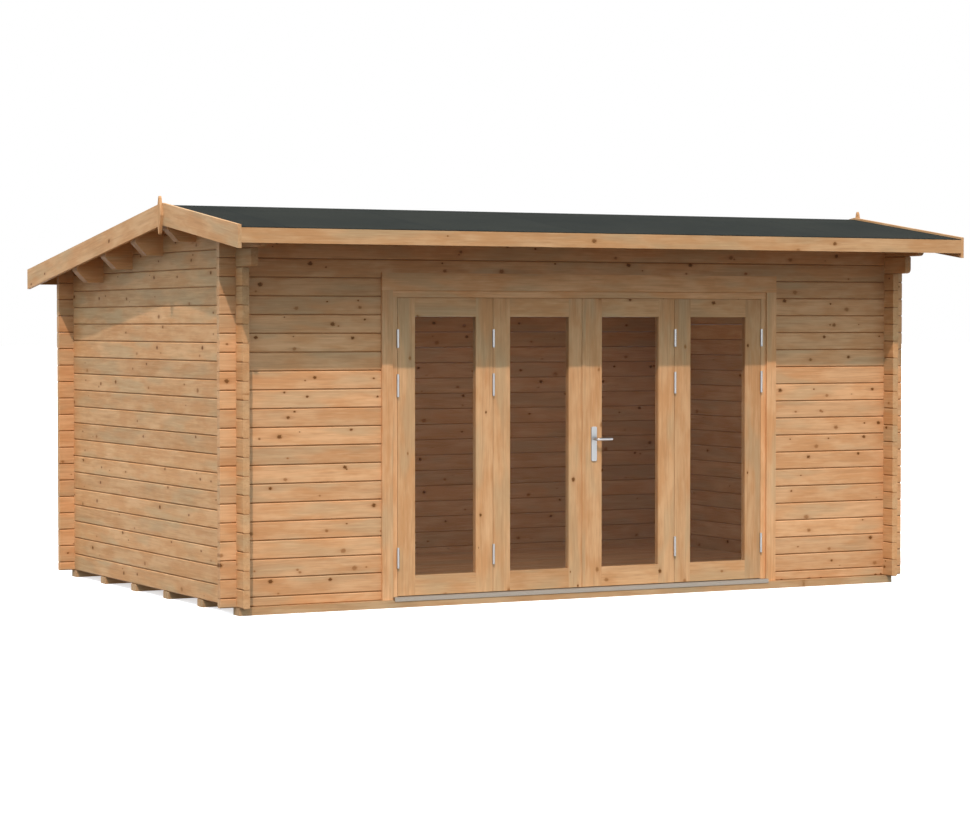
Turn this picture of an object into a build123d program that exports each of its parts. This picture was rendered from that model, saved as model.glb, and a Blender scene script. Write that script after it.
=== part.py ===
import os
from build123d import *

os.makedirs("parts", exist_ok=True)

# Driving sizes, millimetres. Positions are counted from the outer face of the left wall,
# the outer face of the front wall and the top of the bearers.
wall_length = 4800.0
wall_depth = 2974.0
log_pitch = 114.0
log_thickness = 44.0
log_bevel = 7.0
stub_reach = 105.0
fit = 0.3

bearer_height = 47.0
bearer_width = 90.0
bearer_count = 6
bearer_lead = 40.0
floor_thickness = 19.0

roof_slope = 0.1405
ridge_y = 685.0
ridge_underside = 2425.0
deck_thickness = 19.0
felt_thickness = 4.0
gable_overhang = 210.0
front_overhang = 545.0
back_overhang = 322.0
board_thickness = 22.0
bargeboard_height = 137.0
bargeboard_rise = 13.0
fascia_thickness = 18.0
fascia_drop = 69.0
finial_width = 68.0
finial_tip_width = 16.0
finial_thickness = 18.0
finial_height = 240.0
finial_rise = 42.0
finial_point = 12.0

purlin_width = 90.0
purlin_height = 203.0
purlin_reach = 111.0
purlin_cut_rise = 77.0
purlin_spacing = 560.0
purlin_count = 4

lower_corbel = 242.0
upper_corbel = 388.0
wedge_corbel = 240.0
corbel_radius = 32.0

door_centre = 2419.0
leaf_width = 667.0
leaf_gap = 3.0
leaf_low = 22.0
leaf_high = 1874.0
leaf_thickness = 42.0
leaf_face = 0.0
stile_width = 120.0
top_rail = 117.0
bottom_rail = 123.0
glass_thickness = 14.0
jamb_width = 46.0
frame_depth = 44.0
casing_width = 73.0
casing_height = 108.0
casing_thickness = 16.0
casing_reveal = 37.0
head_reveal = 43.0
threshold_top = 19.0
threshold_lip = 8.0
threshold_thickness = 4.0
meeting_strip_width = 24.0
meeting_strip_thickness = 6.0
hinge_radius = 8.0
hinge_spans = [(195.0, 323.0), (1259.0, 1400.0), (1564.0, 1678.0)]
lever_height = 972.0
lever_length = 117.0
lever_radius = 9.0
lever_stand = 46.0
plate_width = 40.0
plate_above = 80.0
plate_below = 142.0
plate_thickness = 8.0

# Sizes that follow from those above.
back_end = wall_depth + back_overhang
y_middle = (back_end - front_overhang) / 2
quarter = log_pitch / 4
half_courses = int(2 * ridge_underside / log_pitch)
back_face = wall_depth - log_thickness
right_face = wall_length - log_thickness
deck_left = -gable_overhang + board_thickness + fit
deck_right = wall_length - deck_left
leaves_width = 4 * leaf_width + 5 * leaf_gap
opening_left = door_centre - leaves_width / 2
opening_right = door_centre + leaves_width / 2
frame_left = opening_left - jamb_width
frame_right = opening_right + jamb_width
opening_top = leaf_high + leaf_gap
frame_top = opening_top + jamb_width
casing_left = opening_left - casing_reveal - casing_width
casing_right = opening_right + casing_reveal + casing_width
casing_low_edge = opening_top + head_reveal
leaf_lefts = [opening_left + leaf_gap + i * (leaf_width + leaf_gap) for i in range(4)]
purlin_faces = [ridge_y - purlin_width / 2 + i * purlin_spacing for i in range(purlin_count)]


def at(x, y, z):
    """A point of the building, moved so that the origin is under its middle."""
    return (x - wall_length / 2, y - y_middle, z + bearer_height)


def roof_line(y, raised=0.0):
    """Height at y of a surface lying the given height above the underside of the deck."""
    return ridge_underside + raised - roof_slope * abs(y - ridge_y)


def block(x0, x1, y0, y1, z0, z1, mode=Mode.ADD):
    with Locations(at((x0 + x1) / 2, (y0 + y1) / 2, (z0 + z1) / 2)):
        Box(x1 - x0, y1 - y0, z1 - z0, mode=mode)


def along_x(points, x0, x1, mode=Mode.ADD):
    """Prism from x0 to x1 whose outline is given as (y, z) points."""
    with BuildSketch(Plane(origin=at(x0, 0, 0), x_dir=(0, 1, 0), z_dir=(1, 0, 0))) as outline:
        Polygon(*points, align=None)
    extrude(outline.sketch, amount=x1 - x0, mode=mode)


def along_y(points, y0, y1, mode=Mode.ADD):
    """Prism from y0 to y1 whose outline is given as (x, z) points."""
    with BuildSketch(Plane(origin=at(0, y1, 0), x_dir=(1, 0, 0), z_dir=(0, -1, 0))) as outline:
        Polygon(*points, align=None)
    extrude(outline.sketch, amount=y1 - y0, mode=mode)


def log_section(face, low, high):
    """Section of a log: an upright plank whose four long edges are bevelled."""
    inner, b = face + log_thickness, log_bevel
    low, high = low + fit / 2, high - fit / 2
    return [
        (face, low + b), (face + b, low), (inner - b, low), (inner, low + b),
        (inner, high - b), (inner - b, high), (face + b, high), (face, high - b),
    ]


def lap_middles(low, high):
    """Heights, at their middles, of the quarters cut away where a crossing log passes."""
    upper = high - quarter / 2
    return [low + quarter / 2, upper] if high - low > log_pitch / 2 else [upper]


def long_log(x0, x1, face, course):
    """Log of the front or back wall. Courses of these walls start with a half log."""
    nominal = (course - 0.5) * log_pitch
    low, high = max(nominal, 0.0), nominal + log_pitch
    y = face + log_thickness / 2
    laps = [at(x + log_thickness / 2, y, z) for x in (0, right_face) if x0 < x < x1
            for z in lap_middles(low, high)]
    with BuildPart() as log:
        along_x(log_section(face, low, high), x0, x1)
        with Locations(*laps):
            Box(log_thickness + 2 * fit, 2 * log_thickness, quarter + fit, mode=Mode.SUBTRACT)
    return log.part


def side_log(course):
    """Log of the left gable; the highest ones reach forward as corbels under the eaves."""
    low, high = course * log_pitch, (course + 1) * log_pitch
    spare = (roof_line(-stub_reach) - high) / log_pitch
    y0 = -(wedge_corbel if spare < 0 else upper_corbel if spare < 1 else
           lower_corbel if spare < 2 else stub_reach)
    laps = [at(log_thickness / 2, y + log_thickness / 2, z) for y in (0, back_face)
            for z in lap_middles(low, high)]
    with BuildPart() as log:
        along_y(log_section(0, low, high), y0, wall_depth + stub_reach)
        with Locations(*laps):
            Box(2 * log_thickness, log_thickness + 2 * fit, quarter + fit, mode=Mode.SUBTRACT)
        if 0 <= spare < 2:
            corner = Plane(origin=at(-1, y0, low), x_dir=(0, 1, 0), z_dir=(1, 0, 0))
            with BuildSketch(corner) as waste:
                Rectangle(corbel_radius, corbel_radius, align=(Align.MIN, Align.MIN))
                with Locations((corbel_radius, corbel_radius)):
                    Circle(corbel_radius, mode=Mode.SUBTRACT)
            extrude(waste.sketch, amount=log_thickness + 2, mode=Mode.SUBTRACT)
    return log.part


def trim_to_roof():
    """Cut off whatever stands higher than the underside of the deck."""
    y0, y1 = -2 * front_overhang, back_end + front_overhang
    peak = ridge_underside + 4 * log_pitch
    outline = [(y, roof_line(y) - fit) for y in (y0, ridge_y, y1)]
    along_x(outline + [(y1, peak), (y0, peak)], -wall_length, 2 * wall_length, Mode.SUBTRACT)


def purlin_slots():
    """Openings in the gable for the purlins."""
    for y in purlin_faces:
        low = roof_line(y if y > ridge_y else ridge_y) - purlin_height
        block(-stub_reach, wall_length + stub_reach, y - fit, y + purlin_width + fit,
              low - fit, ridge_underside + log_pitch, Mode.SUBTRACT)


def roof_slab(y0, y1, x0, x1, low, thickness):
    """Slab that follows one slope of the roof between y0 and y1."""
    along_x([(y0, roof_line(y0, low)), (y1, roof_line(y1, low)),
             (y1, roof_line(y1, low + thickness)), (y0, roof_line(y0, low + thickness))], x0, x1)


with BuildPart() as bearers:
    step = (wall_depth + bearer_lead * 1.25 - bearer_width) / (bearer_count - 1)
    for i in range(bearer_count):
        y = -bearer_lead + i * step
        block(0, wall_length, y, y + bearer_width, -bearer_height, -fit)

with BuildPart() as floor:
    block(log_thickness + fit, right_face - fit, log_thickness + fit, back_face - fit,
          0, floor_thickness)

door_course = int((frame_top + log_pitch / 2) / log_pitch)
front_courses = int((roof_line(0) + log_pitch / 2) / log_pitch) + 1
back_courses = int((roof_line(back_face) + log_pitch / 2) / log_pitch) + 1
side_courses = int(ridge_underside / log_pitch) + 1

with BuildPart() as front_wall_left:
    add([long_log(-stub_reach, frame_left - fit, 0, n) for n in range(door_course)])

with BuildPart() as front_wall_right:
    add([long_log(frame_right + fit, wall_length + stub_reach, 0, n) for n in range(door_course)])

with BuildPart() as front_wall_top:
    add([long_log(-stub_reach, wall_length + stub_reach, 0, n)
         for n in range(door_course, front_courses)])
    block(frame_left - fit, frame_right + fit, -1, log_thickness + 1, 0, frame_top + fit,
          Mode.SUBTRACT)
    trim_to_roof()

with BuildPart() as back_wall:
    add([long_log(-stub_reach, wall_length + stub_reach, back_face, n)
         for n in range(back_courses)])
    trim_to_roof()

with BuildPart() as left_wall:
    add([side_log(n) for n in range(side_courses)])
    trim_to_roof()
    purlin_slots()

with BuildPart() as right_wall:
    add(left_wall.part.moved(Location((right_face, 0, 0))))

with BuildPart() as purlins:
    for y in purlin_faces:
        low = roof_line(y if y > ridge_y else ridge_y) - purlin_height
        block(deck_left, deck_right, y, y + purlin_width, low, ridge_underside + log_pitch)
        for x, end in ((-purlin_reach, deck_left), (wall_length + purlin_reach, deck_right)):
            along_y([(x, low), (end, low + purlin_cut_rise), (2 * end - x, low + purlin_cut_rise),
                     (2 * end - x, low - 1), (x, low - 1)], y - 1, y + purlin_width + 1,
                    Mode.SUBTRACT)
    trim_to_roof()

with BuildPart() as roof_deck_front:
    roof_slab(-front_overhang + fascia_thickness + fit, ridge_y - fit / 2, deck_left, deck_right,
              0, deck_thickness)

with BuildPart() as roof_deck_back:
    roof_slab(ridge_y + fit / 2, back_end - fascia_thickness - fit, deck_left, deck_right,
              0, deck_thickness)

felt_low = deck_thickness + fit
with BuildPart() as roofing_felt_front:
    roof_slab(-front_overhang, ridge_y - fit / 2, deck_left, deck_right, felt_low, felt_thickness)

with BuildPart() as roofing_felt_back:
    roof_slab(ridge_y + fit / 2, back_end, deck_left, deck_right, felt_low, felt_thickness)


def fascia(y0, y1):
    low = min(roof_line(y0), roof_line(y1)) - fascia_drop
    along_x([(y0, low), (y1, low), (y1, roof_line(y1, deck_thickness)),
             (y0, roof_line(y0, deck_thickness))], deck_left, deck_right)


with BuildPart() as fascia_front:
    fascia(-front_overhang, -front_overhang + fascia_thickness)

with BuildPart() as fascia_back:
    fascia(back_end - fascia_thickness, back_end)

board_low = deck_thickness + felt_thickness + bargeboard_rise - bargeboard_height
left_board = (-gable_overhang, -gable_overhang + board_thickness)
right_board = (wall_length + gable_overhang - board_thickness, wall_length + gable_overhang)
front_run = (-front_overhang, ridge_y - fit / 2)
back_run = (ridge_y + fit / 2, back_end)

with BuildPart() as bargeboard_front_left:
    roof_slab(*front_run, *left_board, board_low, bargeboard_height)

with BuildPart() as bargeboard_back_left:
    roof_slab(*back_run, *left_board, board_low, bargeboard_height)

with BuildPart() as bargeboard_front_right:
    roof_slab(*front_run, *right_board, board_low, bargeboard_height)

with BuildPart() as bargeboard_back_right:
    roof_slab(*back_run, *right_board, board_low, bargeboard_height)


def finial(x0, x1):
    """Lozenge, blunt at both ends, that hides the joint of the bargeboards."""
    top = roof_line(ridge_y, board_low + bargeboard_height + finial_rise)
    low, wide, narrow = top - finial_height, finial_width / 2, finial_tip_width / 2
    edge = [(narrow, low + finial_point), (wide, top - finial_height / 2),
            (narrow, top - finial_point)]
    along_x([(ridge_y, low)] + [(ridge_y + w, z) for w, z in edge] + [(ridge_y, top)]
            + [(ridge_y - w, z) for w, z in reversed(edge)], x0, x1)


with BuildPart() as finial_left:
    finial(left_board[0] - fit - finial_thickness, left_board[0] - fit)

with BuildPart() as finial_right:
    finial(right_board[1] + fit, right_board[1] + fit + finial_thickness)

with BuildPart() as door_frame:
    block(frame_left, opening_left, 0, frame_depth, fit, frame_top)
    block(opening_right, frame_right, 0, frame_depth, fit, frame_top)
    block(opening_left + fit, opening_right - fit, 0, frame_depth, opening_top, frame_top)

with BuildPart() as door_casing:
    y0, y1 = -casing_thickness - fit, -fit
    inner_left, inner_right = casing_left + casing_width, casing_right - casing_width
    block(casing_left, inner_left, y0, y1, fit, casing_low_edge - fit)
    block(inner_right, casing_right, y0, y1, fit, casing_low_edge - fit)
    block(casing_left, casing_right, y0, y1, casing_low_edge, casing_low_edge + casing_height)

with BuildPart() as door_threshold:
    lip_back = -bearer_lead - fit
    sill = (casing_left + casing_width, casing_right - casing_width)
    block(*sill, lip_back - threshold_thickness, lip_back, -threshold_lip, threshold_top)
    block(*sill, lip_back, -casing_thickness - 2 * fit, fit, threshold_top)
    block(opening_left + fit, opening_right - fit, -casing_thickness - 2 * fit, log_thickness,
          fit, threshold_top)

glass_y = leaf_face + leaf_thickness / 2


def leaf(left):
    """Glazed leaf: two stiles with a rail between them at the top and the bottom."""
    y0, y1, right = leaf_face, leaf_face + leaf_thickness, left + leaf_width
    block(left, left + stile_width, y0, y1, leaf_low, leaf_high)
    block(right - stile_width, right, y0, y1, leaf_low, leaf_high)
    rails = (left + stile_width + fit, right - stile_width - fit, y0, y1)
    block(*rails, leaf_low, leaf_low + bottom_rail)
    block(*rails, leaf_high - top_rail, leaf_high)


with BuildPart() as door_leaf_1:
    leaf(leaf_lefts[0])

with BuildPart() as door_leaf_2:
    leaf(leaf_lefts[1])

with BuildPart() as door_leaf_3:
    leaf(leaf_lefts[2])

with BuildPart() as door_leaf_4:
    leaf(leaf_lefts[3])

with BuildPart() as door_glass:
    for left in leaf_lefts:
        block(left + stile_width + fit, left + leaf_width - stile_width - fit,
              glass_y - glass_thickness / 2, glass_y + glass_thickness / 2,
              leaf_low + bottom_rail + fit, leaf_high - top_rail - fit)

with BuildPart() as door_meeting_strip:
    strip_right = leaf_lefts[2] - leaf_gap
    block(strip_right - meeting_strip_width, strip_right,
          leaf_face - fit - meeting_strip_thickness, leaf_face - fit, leaf_low, leaf_high)

hinge_y = leaf_face - hinge_radius - fit
hinge_lines = [opening_left + leaf_gap / 2, leaf_lefts[1] - leaf_gap / 2,
               leaf_lefts[3] - leaf_gap / 2, opening_right - leaf_gap / 2]
with BuildPart() as door_hinges:
    for x in hinge_lines:
        for z0, z1 in hinge_spans:
            with Locations(at(x, hinge_y, (z0 + z1) / 2)):
                Cylinder(hinge_radius, z1 - z0)

handle_x = leaf_lefts[2] + stile_width / 2
plate_face = leaf_face - fit - plate_thickness
with BuildPart() as door_handle:
    block(handle_x - plate_width / 2, handle_x + plate_width / 2, plate_face, leaf_face - fit,
          lever_height - plate_below, lever_height + plate_above)
    fillet(door_handle.edges().filter_by(Axis.Y), radius=plate_width / 4)
    neck = Plane(origin=at(handle_x, plate_face + 1, lever_height), x_dir=(1, 0, 0),
                 z_dir=(0, -1, 0))
    with BuildLine(neck) as spine:
        Polyline((0, 0, 0), (0, 0, lever_stand), (lever_length - lever_radius, 0, lever_stand))
        fillet(spine.vertices().sort_by_distance(neck.location.position)[1], radius=18)
    with BuildSketch(neck):
        Circle(lever_radius)
    sweep(path=spine.wire())
    with BuildSketch(neck):
        Circle(2 * lever_radius)
    extrude(amount=plate_thickness / 2)

pieces = {
    "bearers": bearers, "floor": floor,
    "front_wall_left": front_wall_left, "front_wall_right": front_wall_right,
    "front_wall_top": front_wall_top, "back_wall": back_wall,
    "left_wall": left_wall, "right_wall": right_wall, "purlins": purlins,
    "roof_deck_front": roof_deck_front, "roof_deck_back": roof_deck_back,
    "roofing_felt_front": roofing_felt_front, "roofing_felt_back": roofing_felt_back,
    "fascia_front": fascia_front, "fascia_back": fascia_back,
    "bargeboard_front_left": bargeboard_front_left,
    "bargeboard_back_left": bargeboard_back_left,
    "bargeboard_front_right": bargeboard_front_right,
    "bargeboard_back_right": bargeboard_back_right,
    "finial_left": finial_left, "finial_right": finial_right,
    "door_frame": door_frame, "door_casing": door_casing, "door_threshold": door_threshold,
    "door_leaf_1": door_leaf_1, "door_leaf_2": door_leaf_2,
    "door_leaf_3": door_leaf_3, "door_leaf_4": door_leaf_4,
    "door_meeting_strip": door_meeting_strip,
    "door_glass": door_glass, "door_hinges": door_hinges, "door_handle": door_handle,
}
for label, piece in pieces.items():
    piece.part.label = label
    export_step(piece.part, "parts/" + label + ".step")
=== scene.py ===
import math

import bpy
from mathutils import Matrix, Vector


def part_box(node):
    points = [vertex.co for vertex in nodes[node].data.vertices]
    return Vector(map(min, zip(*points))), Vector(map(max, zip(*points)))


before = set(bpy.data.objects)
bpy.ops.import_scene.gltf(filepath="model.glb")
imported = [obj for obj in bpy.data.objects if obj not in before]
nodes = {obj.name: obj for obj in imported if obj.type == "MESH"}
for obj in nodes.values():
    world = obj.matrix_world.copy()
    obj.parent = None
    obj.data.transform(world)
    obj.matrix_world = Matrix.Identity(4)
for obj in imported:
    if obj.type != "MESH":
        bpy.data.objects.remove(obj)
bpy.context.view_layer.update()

# Places and sizes taken from the frame, in metres.
bearer_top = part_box("left_wall")[0].z
log_pitch = 0.114
ground = 0.0
ROOF_SLOPE = 0.1405

# The photograph's viewpoint, solved from the cabin's corners and log seams.
CAMERA_AT = (-8.8289, -16.8810, 1.7495)
CAMERA_YAW = 27.642
CAMERA_DROP = 1.877
CAMERA_LENS = 103.16
CAMERA_SENSOR = 36.0

# Direction in which sunlight travels, read from the eaves' shadow on both walls.
SUN_DIRECTION = (0.612, 1.0, -1.369)
SUN_ENERGY = 2.46
GLOW_POWER = 13.5
SUN_COLOUR = (1.0, 0.77, 0.655)

# Light from straight above, from the horizon and from below, and what the camera sees. These,
# the sun's strength and colour and the lamp's power are set to match the photograph.
OVERHEAD = (1.62, 1.82, 1.96, 1)
HORIZON = (0.63, 0.70, 0.76, 1)
BELOW = (0.13, 0.10, 0.07, 1)
BACKDROP = (1.0, 1.0, 1.0, 1)

# How much stronger or weaker the soft light is from the front and from the back. It is set
# this way because even light left the front's shade darker than in the photograph.
FRONT_LIGHT, BACK_LIGHT = 1.11, 0.91


class Graph:
    """Short names for building one material's nodes."""

    def __init__(self, name):
        self.material = bpy.data.materials.new(name)
        self.material.use_nodes = True
        self.tree = self.material.node_tree
        self.tree.nodes.clear()

    def node(self, kind, settings=(), **inputs):
        made = self.tree.nodes.new(kind)
        for key, value in dict(settings).items():
            setattr(made, key, value)
        for key, value in inputs.items():
            self.put(made, key.replace("_", " "), value)
        return made

    def put(self, made, key, value):
        socket = made.inputs[int(key)] if key.isdigit() else made.inputs[key]
        if isinstance(value, bpy.types.NodeSocket):
            self.tree.links.new(value, socket)
        else:
            socket.default_value = value

    def math(self, operation, a, b=None, c=None, clamp=False):
        made = self.node("ShaderNodeMath", {"operation": operation, "use_clamp": clamp})
        for i, value in enumerate((a, b, c)):
            if value is not None:
                self.put(made, str(i), value)
        return made.outputs[0]

    def vector(self, x, y, z):
        return self.node("ShaderNodeCombineXYZ", X=x, Y=y, Z=z).outputs[0]

    def split(self, vector):
        return self.node("ShaderNodeSeparateXYZ", Vector=vector).outputs

    def noise(self, vector, scale, detail=3.0, rough=0.5, output="Fac", distortion=0.0):
        made = self.node("ShaderNodeTexNoise", Vector=vector, Scale=scale, Detail=detail,
                         Roughness=rough, Distortion=distortion)
        return made.outputs[output]

    def random(self, vector, output="Value"):
        made = self.node("ShaderNodeTexWhiteNoise", {"noise_dimensions": "3D"}, Vector=vector)
        return made.outputs[output]

    def span(self, value, low, high, to_low=0.0, to_high=1.0, smooth=True):
        kind = "SMOOTHSTEP" if smooth else "LINEAR"
        made = self.node("ShaderNodeMapRange", {"interpolation_type": kind, "clamp": True},
                         Value=value)
        for key, number in (("From Min", low), ("From Max", high),
                            ("To Min", to_low), ("To Max", to_high)):
            self.put(made, key, number)
        return made.outputs[0]

    def mix(self, factor, a, b, blend="MIX"):
        made = self.node("ShaderNodeMix", {"data_type": "RGBA", "blend_type": blend,
                                           "clamp_factor": True})
        self.put(made, "0", factor)
        for key, value in (("6", a), ("7", b)):
            self.put(made, key, value)
        return made.outputs[2]

    def blend(self, factor, a, b):
        made = self.node("ShaderNodeMix", {"data_type": "FLOAT", "clamp_factor": True})
        for key, value in (("0", factor), ("2", a), ("3", b)):
            self.put(made, key, value)
        return made.outputs[0]

    def length(self, a, b):
        return self.math("SQRT", self.math("MULTIPLY_ADD", a, a, self.math("MULTIPLY", b, b)))

    def grey(self, value):
        return self.node("ShaderNodeCombineColor", Red=value, Green=value, Blue=value).outputs[0]

    def bump(self, height, strength, distance):
        return self.node("ShaderNodeBump", Height=height, Strength=strength,
                         Distance=distance).outputs[0]

    def finish(self, colour, roughness=0.6, normal=None, **inputs):
        made = self.node("ShaderNodeBsdfPrincipled")
        self.put(made, "Base Color", colour)
        self.put(made, "Roughness", roughness)
        if normal is not None:
            self.put(made, "Normal", normal)
        for key, value in inputs.items():
            self.put(made, key.replace("_", " "), value)
        out = self.node("ShaderNodeOutputMaterial")
        self.tree.links.new(made.outputs[0], out.inputs[0])
        return self.material


def wood(name, grain, across, width, start=0.0, seed=0.0, tone=(1, 1, 1), knots=1.0,
         spread=0.09, slope=0.0, seam_shade=0.0, ends=0.10, crosswise=None):
    """Planed spruce. grain is the axis of the fibres and across the one along which boards of
    one width follow each other from start. slope is the rise of a sloping board. Where
    crosswise is given as (x middle, x reach, z middle, z reach), the fibres run along X at
    places within the x reach and beyond the z reach, as in the rails of a door."""
    g = Graph(name)
    axes = dict(zip("XYZ", g.split(g.node("ShaderNodeTexCoord").outputs["Object"])))
    if slope:
        axes["Z"] = g.math("SUBTRACT", axes["Z"], g.math("MULTIPLY", axes["Y"], slope))
    along, side = axes[grain], axes[across]
    depth = axes[(set("XYZ") - {grain, across}).pop()]
    if crosswise:
        x_middle, x_reach, z_middle, z_reach = crosswise
        turned = g.math("MULTIPLY", g.math("COMPARE", axes["X"], x_middle, x_reach),
                        g.math("SUBTRACT", 1.0, g.math("COMPARE", axes["Z"], z_middle, z_reach)))
        along, side = (g.blend(turned, along, side), g.blend(turned, side, along))

    # Which board this is, and what is its own about it.
    count = g.math("DIVIDE", g.math("SUBTRACT", side, start), width)
    board = g.math("FLOOR", count)
    within = g.math("MULTIPLY", g.math("FRACT", count), width)
    own = g.node("ShaderNodeSeparateColor",
                 Color=g.random(g.vector(board, seed, 3.7), "Color")).outputs
    along = g.math("MULTIPLY_ADD", own[0], 40.0, along)
    depth = g.math("MULTIPLY_ADD", own[1], 20.0, depth)

    # Knots run through a board. Each stretch of a board has at most one of either size.
    core, ring, flow, bend = 0.0, 0.0, 0.0, 0.0
    wobble = g.math("SUBTRACT", g.noise(g.vector(along, within, depth), 110.0, 2.0), 0.5)
    for stretch, smallest, largest, chance in ((0.43, 0.006, 0.012, 0.62),
                                               (0.31, 0.003, 0.006, 0.36)):
        steps = g.math("DIVIDE", along, stretch)
        draw = g.random(g.vector(g.math("FLOOR", steps), board, seed + 10 * stretch), "Color")
        draw = g.node("ShaderNodeSeparateColor", Color=draw).outputs
        there = g.math("LESS_THAN", g.math("FRACT", g.math("MULTIPLY", draw[0], 7.31)),
                       chance * knots)
        size = g.math("MULTIPLY_ADD", draw[2], largest - smallest, smallest)
        far_along = g.math("SUBTRACT", g.math("FRACT", steps),
                           g.math("MULTIPLY_ADD", draw[0], 0.6, 0.2))
        far_along = g.math("DIVIDE", g.math("MULTIPLY", far_along, stretch), size)
        far_side = g.math("SUBTRACT", within,
                          g.math("MULTIPLY", g.math("MULTIPLY_ADD", draw[1], 0.76, 0.12), width))
        far_side = g.math("DIVIDE", far_side, size)
        away = g.length(g.math("MULTIPLY", far_along, 0.78), far_side)
        away = g.math("MULTIPLY_ADD", wobble, 1.3, away)
        tail = g.length(g.math("MULTIPLY", far_along, 0.13), g.math("MULTIPLY", far_side, 0.45))
        near = g.math("MULTIPLY", there, g.span(tail, 0.10, 1.0, 1.0, 0.0))
        dead = g.math("MULTIPLY", there, g.span(draw[1], 0.25, 0.60, 0.35, 1.0))
        core = g.math("MAXIMUM", core, g.math("MULTIPLY", dead, g.span(away, 0.75, 1.10, 1.0, 0.0)))
        ring = g.math("MAXIMUM", ring, g.math("MULTIPLY", there, g.span(away, 0.9, 1.8, 1.0, 0.0)))
        flow = g.math("MAXIMUM", flow, near)
        push = g.math("MULTIPLY", near, g.math("MULTIPLY", size, g.math("SIGN", far_side)))
        bend = g.math("MULTIPLY_ADD", push, -0.9, bend)

    # Growth rings, streaks and blotches, drawn out along the grain.
    bent = g.math("ADD", within, bend)
    rings = g.noise(g.vector(g.math("MULTIPLY", along, 0.7), g.math("MULTIPLY", bent, 16.0),
                             g.math("MULTIPLY", depth, 9.0)), 1.0, 2.0, 0.45)
    rings = g.math("PINGPONG", g.math("MULTIPLY", rings, 11.0), 1.0)
    fibres = g.noise(g.vector(g.math("MULTIPLY", along, 9.0), g.math("MULTIPLY", bent, 420.0),
                              g.math("MULTIPLY", depth, 420.0)), 1.0, 3.0, 0.6)
    streaks = g.noise(g.vector(g.math("MULTIPLY", along, 2.6), g.math("MULTIPLY", bent, 38.0),
                               g.math("MULTIPLY", depth, 30.0)), 1.0, 3.0, 0.6)
    lines = g.noise(g.vector(g.math("MULTIPLY", along, 5.5), g.math("MULTIPLY", bent, 105.0),
                             g.math("MULTIPLY", depth, 80.0)), 1.0, 3.0, 0.55)
    blotch = g.noise(g.vector(g.math("MULTIPLY", along, 3.2), g.math("MULTIPLY", bent, 9.0),
                              g.math("MULTIPLY", depth, 9.0)), 1.0, 3.0, 0.6)
    pale = g.noise(g.vector(g.math("MULTIPLY", along, 1.7), g.math("MULTIPLY", bent, 7.0),
                            seed), 1.0, 2.0, 0.5)

    def shade(red, green, blue):
        return (red * tone[0], green * tone[1], blue * tone[2], 1)

    colour = g.mix(g.span(blotch, 0.36, 0.64), shade(0.670, 0.410, 0.215),
                   shade(0.590, 0.315, 0.142))
    colour = g.mix(g.math("MULTIPLY", g.span(pale, 0.48, 0.66), 0.70), colour,
                   shade(0.500, 0.360, 0.205))
    colour = g.mix(g.math("MULTIPLY", rings, 0.20), colour, shade(0.480, 0.245, 0.110))
    colour = g.mix(g.math("MULTIPLY", g.span(streaks, 0.48, 0.74), 0.42), colour,
                   shade(0.430, 0.230, 0.105))
    colour = g.mix(g.math("MULTIPLY", g.span(lines, 0.52, 0.72), 0.40), colour,
                   shade(0.440, 0.240, 0.112))
    colour = g.mix(g.math("MULTIPLY", g.span(lines, 0.46, 0.30), 0.30), colour,
                   shade(0.760, 0.500, 0.285))
    colour = g.mix(g.math("MULTIPLY", g.span(fibres, 0.40, 0.75), 0.20), colour,
                   shade(0.460, 0.250, 0.115))
    own_tone = g.math("MULTIPLY_ADD", own[2], 2 * spread, 1.0 - spread)
    colour = g.mix(1.0, colour, g.grey(own_tone), "MULTIPLY")
    colour = g.mix(g.math("MULTIPLY", flow, 0.34), colour, shade(0.400, 0.200, 0.085))
    colour = g.mix(g.math("MULTIPLY", ring, 0.55), colour, shade(0.350, 0.148, 0.045))
    colour = g.mix(g.math("MULTIPLY", core, 0.88), colour, (0.115, 0.042, 0.009, 1))

    # Painted shade: a dark brown line along both edges of each log or board stands in for the shade
    # in the gap between neighbours.
    if seam_shade:
        edge = g.math("MINIMUM", within, g.math("SUBTRACT", width, within))
        colour = g.mix(g.span(edge, 0.4 * seam_shade, 1.6 * seam_shade, 0.80, 0.0), colour,
                       (0.210, 0.082, 0.022, 1))
    if not crosswise:
        facing = g.split(g.node("ShaderNodeNewGeometry").outputs["Normal"])["XYZ".index(grain)]
        across_grain = g.span(g.math("ABSOLUTE", facing), 0.50, 0.65)
        colour = g.mix(g.math("MULTIPLY", across_grain, ends), colour, (0.300, 0.160, 0.075, 1))
    relief = g.math("MULTIPLY_ADD", rings, 0.5, fibres)
    return g.finish(colour, g.span(streaks, 0.3, 0.7, 0.56, 0.70),
                    g.bump(relief, 0.12, 0.0005), Specular_IOR_Level=0.10)


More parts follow.
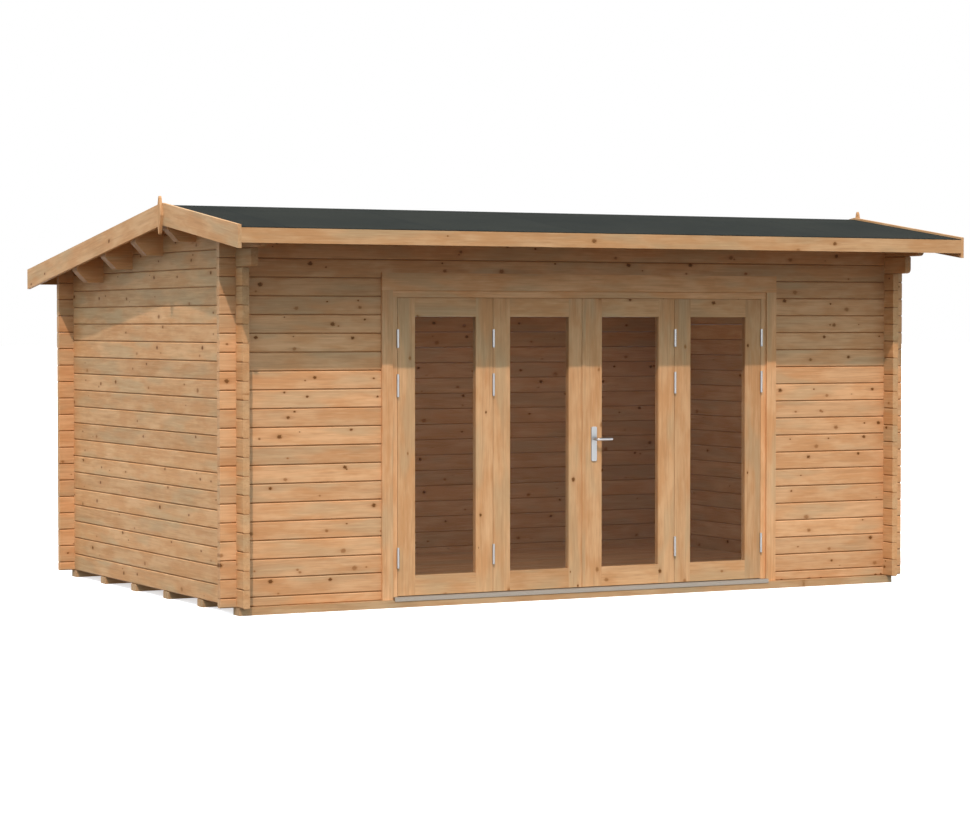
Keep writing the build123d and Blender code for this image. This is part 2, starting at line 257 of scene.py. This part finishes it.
def felt(name):
    """Mineral felt, laid in strips one metre wide that run down the slope and overlap."""
    g = Graph(name)
    place = g.node("ShaderNodeTexCoord").outputs["Object"]
    x, y, z = g.split(place)
    grit = g.noise(place, 700.0, 2.0, 0.6)
    patch = g.noise(place, 2.2, 3.0, 0.55)
    strip = g.math("FRACT", g.math("ADD", x, 40.3))
    number = g.math("FLOOR", g.math("ADD", x, 40.3))
    own = g.random(g.vector(number, 5.0, 2.0))
    lap = g.math("MULTIPLY", g.span(strip, 0.0, 0.004), g.span(strip, 0.014, 0.030, 1.0, 0.0))
    colour = g.mix(g.span(patch, 0.3, 0.7), (0.0092, 0.0104, 0.0074, 1), (0.0150, 0.0158, 0.0112, 1))
    colour = g.mix(g.span(grit, 0.45, 0.75, 0.0, 0.45), colour, (0.040, 0.043, 0.036, 1))
    colour = g.mix(1.0, colour, g.grey(g.math("MULTIPLY_ADD", own, 0.16, 0.92)), "MULTIPLY")
    colour = g.mix(g.math("MULTIPLY", lap, 0.6), colour, (0.006, 0.008, 0.007, 1))
    return g.finish(colour, 0.92, g.bump(g.math("MULTIPLY_ADD", lap, -2.0, grit), 0.5, 0.001),
                    Specular_IOR_Level=0.09)


def metal(name, colour, rough):
    g = Graph(name)
    place = g.node("ShaderNodeTexCoord").outputs["Object"]
    brushed = g.noise(place, 400.0, 3.0, 0.6)
    return g.finish(colour, g.span(brushed, 0.3, 0.7, rough - 0.06, rough + 0.08), Metallic=1.0)


def glazing(name):
    """Window glass as a thin brown film, with hardly any smears."""
    g = Graph(name)
    place = g.node("ShaderNodeTexCoord").outputs["Object"]
    smear = g.noise(place, 3.0, 2.0)
    return g.finish((0.112, 0.071, 0.039, 1), g.span(smear, 0.3, 0.7, 0.02, 0.06), Alpha=0.12,
                    IOR=1.45, Specular_IOR_Level=0.30)


def wear(node, material):
    """Give every slot of a CAD node one material."""
    mesh = nodes[node].data
    if not mesh.materials:
        mesh.materials.append(material)
    for i in range(len(mesh.materials)):
        mesh.materials[i] = material


# How much redder, greener and bluer than plain spruce each kind of timber is; the side walls' and
# purlins' tones are painted shade and painted light instead.
# Painted shade: the side walls are the front walls' spruce, darkened for how light falls on that
# side.
SIDE_WALL_PAINTED_SHADE = (0.96, 0.97, 0.94)
# Painted light: the purlins are the walls' spruce, lightened to brighten their shaded sides under
# the roof.
PURLIN_PAINTED_LIGHT = (1.15, 1.13, 1.08)
TREATED = (0.80, 0.88, 0.92)
TRIM = (0.92, 0.94, 0.93)
FASCIA = (0.84, 0.87, 0.86)
SURROUND = (1.07, 1.07, 1.06)

half = log_pitch / 2
# Widths of the painted shade along the gaps between logs, floor boards and deck boards.
LOG_SEAM_SHADE, FLOOR_SEAM_SHADE, DECK_SEAM_SHADE = 0.0022, 0.0016, 0.0012
BEARER_PITCH, FLOOR_BOARD, DECK_BOARD = 0.5868, 0.121, 0.096
for i, node in enumerate(("front_wall_left", "front_wall_top", "front_wall_right",
                          "back_wall")):
    wear(node, wood("spruce_" + node, "X", "Z", log_pitch, bearer_top - half, 1.3 + i,
                    seam_shade=LOG_SEAM_SHADE))
for i, node in enumerate(("left_wall", "right_wall")):
    wear(node, wood("spruce_" + node, "Y", "Z", log_pitch, bearer_top, 11.3 + i, seam_shade=LOG_SEAM_SHADE,
                    tone=SIDE_WALL_PAINTED_SHADE, knots=0.6))
# Painted light and shade on the purlins: the lifted tone brightens their shaded sides, and ends=0.9
# darkens their cut ends far beyond other end grain as painted shade.
wear("purlins", wood("spruce_purlins", "X", "Z", 0.6, -0.2, 21.0, PURLIN_PAINTED_LIGHT,
                     ends=0.9))
wear("bearers", wood("treated_bearers", "X", "Y", BEARER_PITCH, -1.6, 23.0, tone=TREATED,
                     knots=0.6))
wear("floor", wood("floor_boards", "X", "Y", FLOOR_BOARD, 0.0, 25.0, seam_shade=FLOOR_SEAM_SHADE))
for i, node in enumerate(("roof_deck_front", "roof_deck_back")):
    wear(node, wood("boards_" + node, "Y", "X", DECK_BOARD, 0.0, 27.0 + i, seam_shade=DECK_SEAM_SHADE))
for i, node in enumerate(("fascia_front", "fascia_back")):
    wear(node, wood("trim_" + node, "X", "Z", 0.3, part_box(node)[0].z - 0.1, 31.0 + i, FASCIA, 0.7))
for i, node in enumerate(("bargeboard_front_left", "bargeboard_back_left",
                          "bargeboard_front_right", "bargeboard_back_right")):
    slope = -ROOF_SLOPE if "back" in node else ROOF_SLOPE
    wear(node, wood("trim_" + node, "Y", "Z", 0.5, 1.97, 41.0 + i, TRIM, 0.7, slope=slope))
for i, node in enumerate(("finial_left", "finial_right")):
    wear(node, wood("trim_" + node, "Z", "Y", 0.3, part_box(node)[0].y - 0.12, 51.0 + i, TRIM, 0.1))

# Door joinery: upright stiles, jambs and casings, with the fibres of rails and heads level.
STILE, RAIL_LOW, RAIL_TOP = 0.120, 0.123, 0.117
FRAME_HEAD, CASING_HEAD = 0.046, 0.108
for i in range(4):
    node = "door_leaf_%d" % (i + 1)
    low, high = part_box(node)
    x_middle, z_low, z_high = (low.x + high.x) / 2, low.z + RAIL_LOW, high.z - RAIL_TOP
    rails = (x_middle, (high.x - low.x) / 2 - STILE, (z_low + z_high) / 2, (z_high - z_low) / 2)
    wear(node, wood("joinery_" + node, "Z", "X", (high.x - low.x) / 2, low.x, 61.0 + i, TRIM, 0.9,
                    crosswise=rails))
for i, (node, head) in enumerate((("door_frame", FRAME_HEAD), ("door_casing", CASING_HEAD))):
    low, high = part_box(node)
    wear(node, wood("joinery_" + node, "Z", "X", (high.x - low.x) / 2, low.x, 66.0 + i, SURROUND,
                    0.7, crosswise=(0.0, 9.0, 0.0, high.z - head)))
wear("door_meeting_strip", wood("joinery_strip", "Z", "X", 0.3, -0.1, 68.0, TRIM, 0.3))
for node in ("roofing_felt_front", "roofing_felt_back"):
    wear(node, felt("mineral_" + node))
steel = metal("satin_steel", (0.36, 0.355, 0.35, 1), 0.42)
wear("door_hinges", steel)
wear("door_handle", steel)
wear("door_threshold", metal("mill_aluminium", (0.285, 0.255, 0.215, 1), 0.50))
wear("door_glass", glazing("clear_glass"))

# Floor, light and camera. The floor glows a little, so that it looks as white as the backdrop,
# and is hidden from diffuse rays, so that only the world lights the cabin from below.
FLOOR_SIZE = 400.0
bpy.ops.mesh.primitive_plane_add(size=FLOOR_SIZE, location=(0, 0, ground - 0.001))
floor = bpy.context.object
floor.name = "studio_floor"
floor.visible_diffuse = False
g = Graph("pale_floor")
floor.data.materials.append(g.finish((0.90, 0.90, 0.90, 1), 1.0,
                                     Emission_Color=(1, 1, 1, 1), Emission_Strength=0.62))

world = bpy.data.worlds.new("studio")
bpy.context.scene.world = world
world.use_nodes = True
tree = world.node_tree
direction = tree.nodes.new("ShaderNodeTexCoord")
parts = tree.nodes.new("ShaderNodeSeparateXYZ")
tree.links.new(direction.outputs["Generated"], parts.inputs[0])
height = tree.nodes.new("ShaderNodeMapRange")
height.inputs["From Min"].default_value = -1.0
tree.links.new(parts.outputs["Z"], height.inputs["Value"])
sky = tree.nodes.new("ShaderNodeValToRGB")
tree.links.new(height.outputs[0], sky.inputs[0])
stops = ((-0.10, BELOW), (0.0, HORIZON), (1.0, OVERHEAD))
for i, (level, colour) in enumerate(stops):
    stop = sky.color_ramp.elements[i] if i < 2 else sky.color_ramp.elements.new(1.0)
    stop.position = (level + 1) / 2
    stop.color = colour
lean = tree.nodes.new("ShaderNodeMapRange")
for key, number in (("From Min", -1.0), ("To Min", FRONT_LIGHT), ("To Max", BACK_LIGHT)):
    lean.inputs[key].default_value = number
tree.links.new(parts.outputs["Y"], lean.inputs["Value"])
leaning = tree.nodes.new("ShaderNodeMix")
leaning.data_type, leaning.blend_type = "RGBA", "MULTIPLY"
leaning.inputs[0].default_value = 1.0
tree.links.new(sky.outputs[0], leaning.inputs[6])
tree.links.new(lean.outputs[0], leaning.inputs[7])
seen = tree.nodes.new("ShaderNodeMix")
seen.data_type = "RGBA"
tree.links.new(tree.nodes.new("ShaderNodeLightPath").outputs["Is Camera Ray"], seen.inputs[0])
tree.links.new(leaning.outputs[2], seen.inputs[6])
seen.inputs[7].default_value = BACKDROP
tree.links.new(seen.outputs[2], tree.nodes["Background"].inputs["Color"])
tree.nodes["Background"].inputs["Strength"].default_value = 1.0

sun = bpy.data.lights.new("sun", "SUN")
sun.energy = SUN_ENERGY
sun.angle = math.radians(0.8)
sun.color = SUN_COLOUR
sun_object = bpy.data.objects.new("sun", sun)
sun_object.rotation_mode = "QUATERNION"
sun_object.rotation_quaternion = Vector(SUN_DIRECTION).to_track_quat("-Z", "Y")
bpy.context.scene.collection.objects.link(sun_object)

# A soft lamp under the ridge, which the real cabin doesn't have. It brightens the room behind
# the glass to the photograph's level, since the world and the sun alone leave it too dark.
room_low, room_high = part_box("floor")
glow = bpy.data.lights.new("indoor_glow", "AREA")
glow.shape = "RECTANGLE"
glow.size, glow.size_y = (room_high.x - room_low.x) * 0.9, (room_high.y - room_low.y) * 0.8
glow.energy = GLOW_POWER
glow.color = (1.0, 0.90, 0.84)
glow_object = bpy.data.objects.new("indoor_glow", glow)
glow_object.location = ((room_low.x + room_high.x) / 2, (room_low.y + room_high.y) / 2,
                        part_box("back_wall")[1].z - 0.12)
glow_object.visible_camera = False
glow_object.visible_glossy = False
bpy.context.scene.collection.objects.link(glow_object)

camera = bpy.data.cameras.new("camera")
camera.lens = CAMERA_LENS
camera.sensor_width = CAMERA_SENSOR
camera.sensor_fit = "HORIZONTAL"
camera.clip_end = 500.0
camera_object = bpy.data.objects.new("camera", camera)
camera_object.location = CAMERA_AT
camera_object.rotation_euler = (math.radians(90 - CAMERA_DROP), 0, -math.radians(CAMERA_YAW))
bpy.context.scene.collection.objects.link(camera_object)
bpy.context.scene.camera = camera_object
bpy.context.scene.view_settings.view_transform = "Standard"
